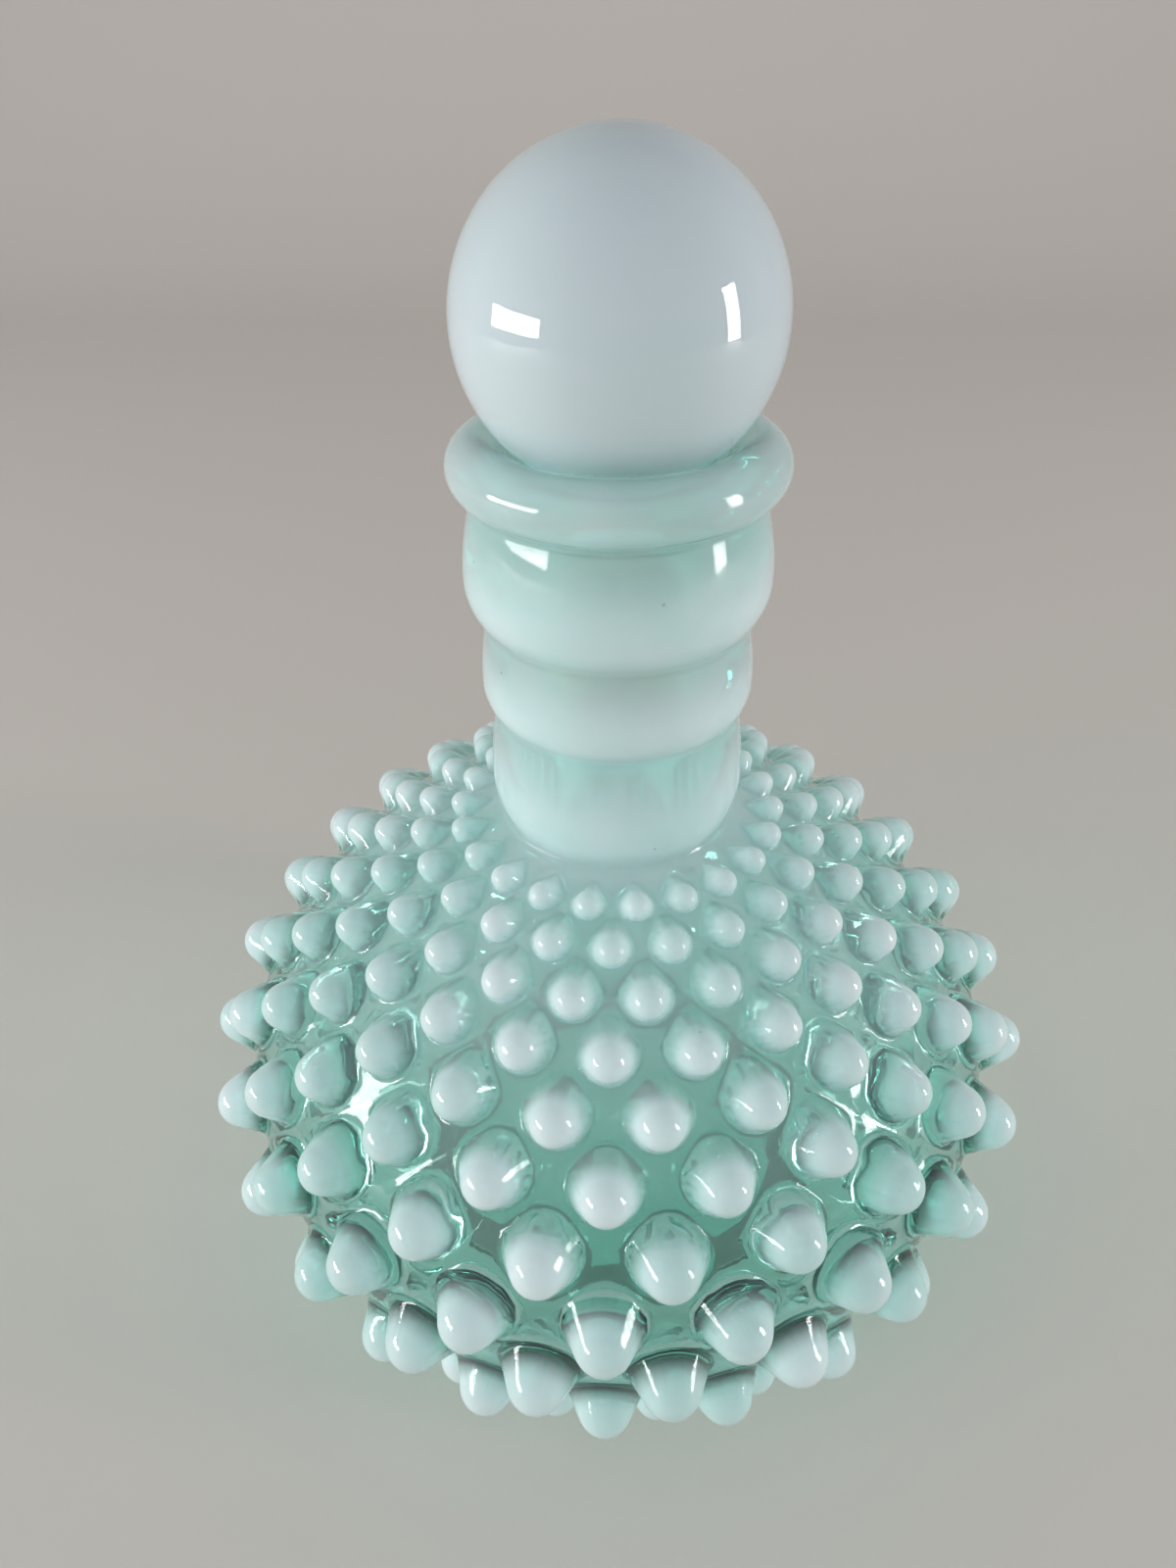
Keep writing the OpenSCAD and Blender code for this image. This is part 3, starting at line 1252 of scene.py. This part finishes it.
    def foot_profile(self, inset: float, with_dish: bool) -> list[SectionPoint]:
        """Draws the outside from the dish or the foot's edge up to the circle below the last row.

        Args:
            inset: Depth below the outer face.
            with_dish: Whether the dish and the flat ring are included.

        Returns:
            Places in order.
        """
        globe = self.globe
        edge_r = globe.foot_r - inset
        places = []
        if with_dish:
            ball_r = (globe.dish_r**2 + globe.dish_depth**2) / (2.0 * globe.dish_depth)
            for i in range(self.dish_steps + 1):
                r = globe.dish_r * i / self.dish_steps
                fall = ball_r - math.sqrt(ball_r**2 - r * r)
                places.append(SectionPoint(r, max(0.0, globe.dish_depth - fall)))
            places.append(SectionPoint(edge_r - globe.foot_bevel, 0.0))
        low_bevel = self.bevel_share * globe.foot_bevel
        places.append(SectionPoint(edge_r - low_bevel, low_bevel))
        places.append(SectionPoint(edge_r, globe.foot_bevel))
        places.append(SectionPoint(edge_r, globe.foot_h))
        rim_s = self.row_s(self.hobs.rows)
        return places + globe.run(globe.foot_s - self.foot_lap, rim_s, self.foot_steps, inset)

    def shoulder_profile(self, inset: float) -> list[SectionPoint]:
        """Draws the shoulder from the circle above the first row to the neck, rounded into it.

        Args:
            inset: Depth below the outer face.

        Returns:
            Places in order.
        """
        rounded = self.neck.foot_round
        rise = self.globe.run(self.row_s(-1), rounded, self.shoulder_steps, inset)
        corner = SectionPoint(self.globe.neck_foot_r - inset, self.neck_z)
        end = SectionPoint(self.neck.radius(rounded) - inset, self.neck_z + rounded)
        return rise + bend(rise[-1], corner, end, self.neck.foot_steps)

    def cavity_profile(self) -> list[SectionPoint]:
        """Draws the space inside the globe from below the bore to the middle of its floor.

        Returns:
            Places in order.
        """
        globe = self.globe
        floor_turn = math.asin((globe.equator_z - globe.base_t) / (globe.belly_r - globe.wall))
        floor_s = globe.equator_s + globe.belly_r * floor_turn
        lap = self.cavity_lap
        places = globe.run(self.cavity_s + lap, floor_s - lap, self.cavity_steps, globe.wall)
        floor_r = globe.at(floor_s, globe.wall).r
        places.append(SectionPoint(floor_r - self.floor_bend.r, globe.base_t + self.floor_bend.z))
        flat_r = floor_r - self.floor_round
        for i in range(self.floor_steps + 1):
            places.append(SectionPoint(flat_r * (1 - i / self.floor_steps), globe.base_t))
        return places

    def wall_haze_and_painted_light(self, place: SectionPoint) -> float:
        """Gives the milk of a turned place, on the neck or by its level on the globe, painted light and
        shade included.

        Args:
            place: Place on the profile.

        Returns:
            A share from 0 to 1.
        """
        if place.z > self.neck_z:
            return self.neck.haze_and_painted_light(place.r, place.z - self.neck_z)
        if place.z > self.globe.equator_z:
            return self.haze_and_painted_light(self.row_s(-1))
        return self.haze_and_painted_light(self.globe.foot_s)

    def layer(
        self, name: str, fine: Fineness, inset: float, neck_inset: float, closed: bool
    ) -> bpy.types.Object:
        """Draws one layer of the bottle: over the outside, the lip and the bore.

        Args:
            name: Name of the piece.
            fine: How finely it is drawn.
            inset: Depth below the outer face of the globe.
            neck_inset: Depth below the faces of the neck.
            closed: Whether the foot's underside and the space inside close the layer.

        Returns:
            The piece.
        """
        segments = fine.patch_steps * self.hobs.per_row
        draft = MeshDraft()
        draft.lathe(self.foot_profile(inset, closed), segments, self.wall_haze_and_painted_light)
        self.add_hobs(draft, fine, inset)
        bore_z = self.globe.at(self.cavity_s, self.globe.wall).z
        upper = self.shoulder_profile(inset) + self.neck.outside(self.neck_z, neck_inset, fine.neck_step)
        upper += self.neck.inside(self.neck_z, bore_z, neck_inset)
        if closed:
            upper += self.cavity_profile()
        draft.lathe(upper, segments, self.wall_haze_and_painted_light)
        return draft.to_object(name)

    def build(self, glass: ClearAquaGlass, skin: OpalSkin) -> list[bpy.types.Object]:
        """Builds and dresses both layers.

        Args:
            glass: Finish of the shell.
            skin: Finish of the outer layer.

        Returns:
            The two pieces.
        """
        shell = self.layer("bottle_glass", self.glass_fine, self.glass_inset, self.neck_inset, True)
        shell.data.materials.append(glass.material())
        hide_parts("bottle")
        outer = self.layer("bottle_opal_skin", self.skin_fine, self.skin_inset, self.skin_inset, False)
        outer.data.materials.append(skin.material())
        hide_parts("hobs")
        for piece in (shell, outer):
            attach(piece, Body.BOTTLE.value)
        return [shell, outer]


@dataclass
class Stopper:
    """The ball stopper with its round shank."""

    ball_r: float = 16.9
    shank_r: float = 5.0
    shank_bevel: float = 0.8
    shank_lead: float = 2.0
    shank_steps: int = 8
    root_round: float = 1.8
    root_steps: int = 6
    ball_steps: int = 56
    segments: int = 96

    def profile(self, bottom_z: float, top_z: float) -> list[SectionPoint]:
        """Draws the outline from the shank's end over the rounded root to the top of the ball.

        Args:
            bottom_z: Height of the shank's end.
            top_z: Height of the top of the ball.

        Returns:
            Places in order.
        """
        ball_z = top_z - self.ball_r
        end_r = self.shank_r - self.shank_bevel
        places = [SectionPoint(0.0, bottom_z), SectionPoint(end_r, bottom_z)]
        places.append(SectionPoint(self.shank_r, bottom_z + self.shank_bevel))
        root_z = ball_z - math.sqrt(self.ball_r**2 - self.shank_r**2)
        low_z = bottom_z + self.shank_lead
        rise = root_z - self.root_round - low_z
        for i in range(self.shank_steps + 1):
            places.append(SectionPoint(self.shank_r, low_z + rise * i / self.shank_steps))
        leave = math.asin((self.shank_r + self.root_round) / self.ball_r)
        ball = []
        for i in range(self.ball_steps + 1):
            turn = leave + (math.pi - leave) * i / self.ball_steps
            ball.append(SectionPoint(self.ball_r * math.sin(turn), ball_z - self.ball_r * math.cos(turn)))
        corner = SectionPoint(self.shank_r, root_z)
        return places + bend(places[-1], corner, ball[0], self.root_steps) + ball

    def build(self, finish: MilkGlass) -> bpy.types.Object:
        """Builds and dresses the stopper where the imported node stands.

        Args:
            finish: Finish of the ball and shank.

        Returns:
            The piece.
        """
        low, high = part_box("stopper")
        draft = MeshDraft()
        draft.lathe(self.profile(low.z / MM, high.z / MM), self.segments, lambda place: 1.0)
        piece = draft.to_object("stopper_ball")
        piece.data.materials.append(finish.material())
        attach(piece, Body.STOPPER.value)
        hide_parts("stopper")
        return piece


@dataclass
class CorkSleeve:
    """The cork on the shank, with cut faces and open pores."""

    bore_clearance: float = 0.04
    shank_r: float = 5.0
    bevel: float = 0.6
    pit_depth: float = 0.25
    pit_size: float = 1.6
    pit_floor: float = 0.15
    bore_margin: float = 1.0
    segments: int = 96
    layers: int = 44
    end_steps: int = 4

    def profile(self, bottom_z: float, top_z: float, outer_r: float) -> list[SectionPoint]:
        """Draws the closed outline of the sleeve, starting and ending at the bottom of its bore.

        Args:
            bottom_z: Height of its lower end.
            top_z: Height of its upper end.
            outer_r: Its outer radius.

        Returns:
            Places in order.
        """
        bore_r = self.shank_r + self.bore_clearance
        low_z = bottom_z + self.bevel
        span = top_z - self.bevel - low_z
        side = [SectionPoint(outer_r, low_z + span * i / self.layers) for i in range(self.layers + 1)]
        width = outer_r - self.bevel - bore_r
        count = self.end_steps
        lower = [SectionPoint(bore_r + width * i / count, bottom_z) for i in range(count + 1)]
        upper = [SectionPoint(place.r, top_z) for place in reversed(lower)]
        return lower + side + upper + [SectionPoint(bore_r, bottom_z)]

    def pit(self, piece: bpy.types.Object) -> None:
        """Presses pores into the outer face, never out of it.

        Args:
            piece: The sleeve.
        """
        inner_r = (self.shank_r + self.bore_margin) * MM
        for vertex in piece.data.vertices:
            across = Vector((vertex.co.x, vertex.co.y, 0.0))
            if across.length < inner_r:
                continue
            grain = noise.noise(vertex.co / (self.pit_size * MM)) - self.pit_floor
            vertex.co -= across.normalized() * max(0.0, grain) * self.pit_depth * MM

    def build(self, finish: NaturalCork) -> bpy.types.Object:
        """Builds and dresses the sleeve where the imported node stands.

        Args:
            finish: Finish of the cork.

        Returns:
            The piece.
        """
        low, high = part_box("cork_sleeve")
        draft = MeshDraft()
        draft.lathe(self.profile(low.z / MM, high.z / MM, high.x / MM), self.segments, lambda place: 0.0)
        piece = draft.to_object("cork_sleeve_pitted")
        self.pit(piece)
        piece.data.materials.append(finish.material())
        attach(piece, Body.CORK.value)
        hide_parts("cork_sleeve")
        return piece


@dataclass(frozen=True)
class Window:
    """A soft oblong light that stands for a window. Lengths are in metres."""

    name: str
    place: Point
    aim: Point
    width: float
    height: float
    power: float
    color: Point = (1.0, 1.0, 1.0)

    def build(self) -> bpy.types.Object:
        """Builds the light and turns it to its aim.

        Returns:
            The light.
        """
        data = bpy.data.lights.new(self.name, "AREA")
        data.shape = "RECTANGLE"
        data.size = self.width
        data.size_y = self.height
        data.energy = self.power
        data.color = self.color
        lamp = bpy.data.objects.new(self.name, data)
        lamp.location = self.place
        way = Vector(self.aim) - Vector(self.place)
        lamp.rotation_euler = way.to_track_quat("-Z", "Y").to_euler()
        bpy.context.scene.collection.objects.link(lamp)
        return lamp


@dataclass
class Studio:
    """A pale sweep, soft light from two windows and the room, and the camera. Lengths are in metres."""

    floor_color: Color = (0.76, 0.71, 0.66, 1.0)
    floor_roughness: float = 0.7
    half_width: float = 2.2
    front_y: float = -1.6
    bend_y: float = 0.55
    bend_r: float = 0.5
    bend_steps: int = 16
    wall_h: float = 1.9
    room_color: Color = (0.95, 0.975, 1.0, 1.0)
    room_strength: float = 0.42
    camera_place: Point = (0.00234, -0.1178, 0.1543)
    camera_pitch: float = math.radians(35.04)
    camera_yaw: float = math.radians(-2.9)
    camera_roll: float = math.radians(-0.71)
    camera_lens: float = 26.03
    camera_sensor: float = 36.0
    camera_near: float = 0.005
    clear_layers: int = 32
    windows: tuple[Window, ...] = (
        Window("window_left", (-0.75, -0.3, 0.16), (0.0, 0.0, 0.08), 0.56, 0.15, 4.0),
        Window("window_right", (0.8, -0.16, 0.2), (0.0, 0.0, 0.08), 0.15, 0.38, 2.7),
    )

    def build_sweep(self) -> bpy.types.Object:
        """Builds the floor that curves up into the backdrop.

        Returns:
            The sweep.
        """
        line = [(self.front_y, 0.0), (self.bend_y, 0.0)]
        for i in range(1, self.bend_steps + 1):
            t = math.pi / 2.0 * i / self.bend_steps
            line.append((self.bend_y + self.bend_r * math.sin(t), self.bend_r * (1.0 - math.cos(t))))
        line.append((self.bend_y + self.bend_r, self.wall_h))
        points = [(side * self.half_width, y, z) for y, z in line for side in (-1, 1)]
        faces = [(2 * i, 2 * i + 1, 2 * i + 3, 2 * i + 2) for i in range(len(line) - 1)]
        mesh = bpy.data.meshes.new("studio_sweep")
        mesh.from_pydata(points, [], faces)
        mesh.shade_smooth()
        material = bpy.data.materials.new("pale_sweep")
        material.use_nodes = True
        shader = material.node_tree.nodes["Principled BSDF"]
        shader.inputs["Base Color"].default_value = self.floor_color
        shader.inputs["Roughness"].default_value = self.floor_roughness
        mesh.materials.append(material)
        sweep = bpy.data.objects.new("studio_sweep", mesh)
        bpy.context.scene.collection.objects.link(sweep)
        return sweep

    def build_room(self) -> None:
        """Lights the scene evenly from the room."""
        world = bpy.data.worlds.new("soft_room")
        world.use_nodes = True
        background = world.node_tree.nodes["Background"]
        background.inputs["Color"].default_value = self.room_color
        background.inputs["Strength"].default_value = self.room_strength
        bpy.context.scene.world = world

    def build_camera(self) -> bpy.types.Object:
        """Sets the camera where the photograph was taken from.

        Returns:
            The camera.
        """
        pitch, yaw, roll = self.camera_pitch, self.camera_yaw, self.camera_roll
        level = math.cos(pitch)
        ahead = Vector((math.sin(yaw) * level, math.cos(yaw) * level, -math.sin(pitch)))
        right = Vector((math.cos(yaw), -math.sin(yaw), 0.0))
        above = right.cross(ahead)
        right_rolled = math.cos(roll) * right + math.sin(roll) * above
        above_rolled = math.cos(roll) * above - math.sin(roll) * right
        data = bpy.data.cameras.new("photo_camera")
        data.sensor_fit = "AUTO"
        data.sensor_width = self.camera_sensor
        data.lens = self.camera_lens
        data.clip_start = self.camera_near
        camera = bpy.data.objects.new("photo_camera", data)
        turn = Matrix((right_rolled, above_rolled, -ahead)).transposed()
        camera.matrix_world = Matrix.Translation(Vector(self.camera_place)) @ turn.to_4x4()
        bpy.context.scene.collection.objects.link(camera)
        bpy.context.scene.camera = camera
        return camera

    def build(self) -> None:
        """Builds the stage, the lights and the camera."""
        bpy.context.scene.view_settings.view_transform = "Standard"
        bpy.context.scene.cycles.transparent_max_bounces = self.clear_layers
        self.build_sweep()
        self.build_room()
        for window in self.windows:
            window.build()
        self.build_camera()


def report(pieces: Iterable[bpy.types.Object]) -> None:
    """Logs each piece with its size.

    Args:
        pieces: The finished pieces.
    """
    for piece in pieces:
        size = ", ".join(f"{length / MM:.1f}" for length in piece.dimensions)
        LOG.info("%s: %d points, %s mm", piece.name, len(piece.data.vertices), size)


def main() -> None:
    """Builds the pieces in order, then the studio."""
    logging.basicConfig(level=logging.INFO, format="%(name)s: %(message)s")
    groups = SharedGroups.build()
    pieces = Bottle().build(ClearAquaGlass("clear_aqua_glass", groups), OpalSkin("opal_skin", groups))
    pieces.append(Stopper().build(MilkGlass("opal_ball_glass", groups)))
    pieces.append(CorkSleeve().build(NaturalCork("natural_cork", groups)))
    Studio().build()
    bpy.context.view_layer.update()
    report(pieces)


if __name__ == "__main__":
    main()
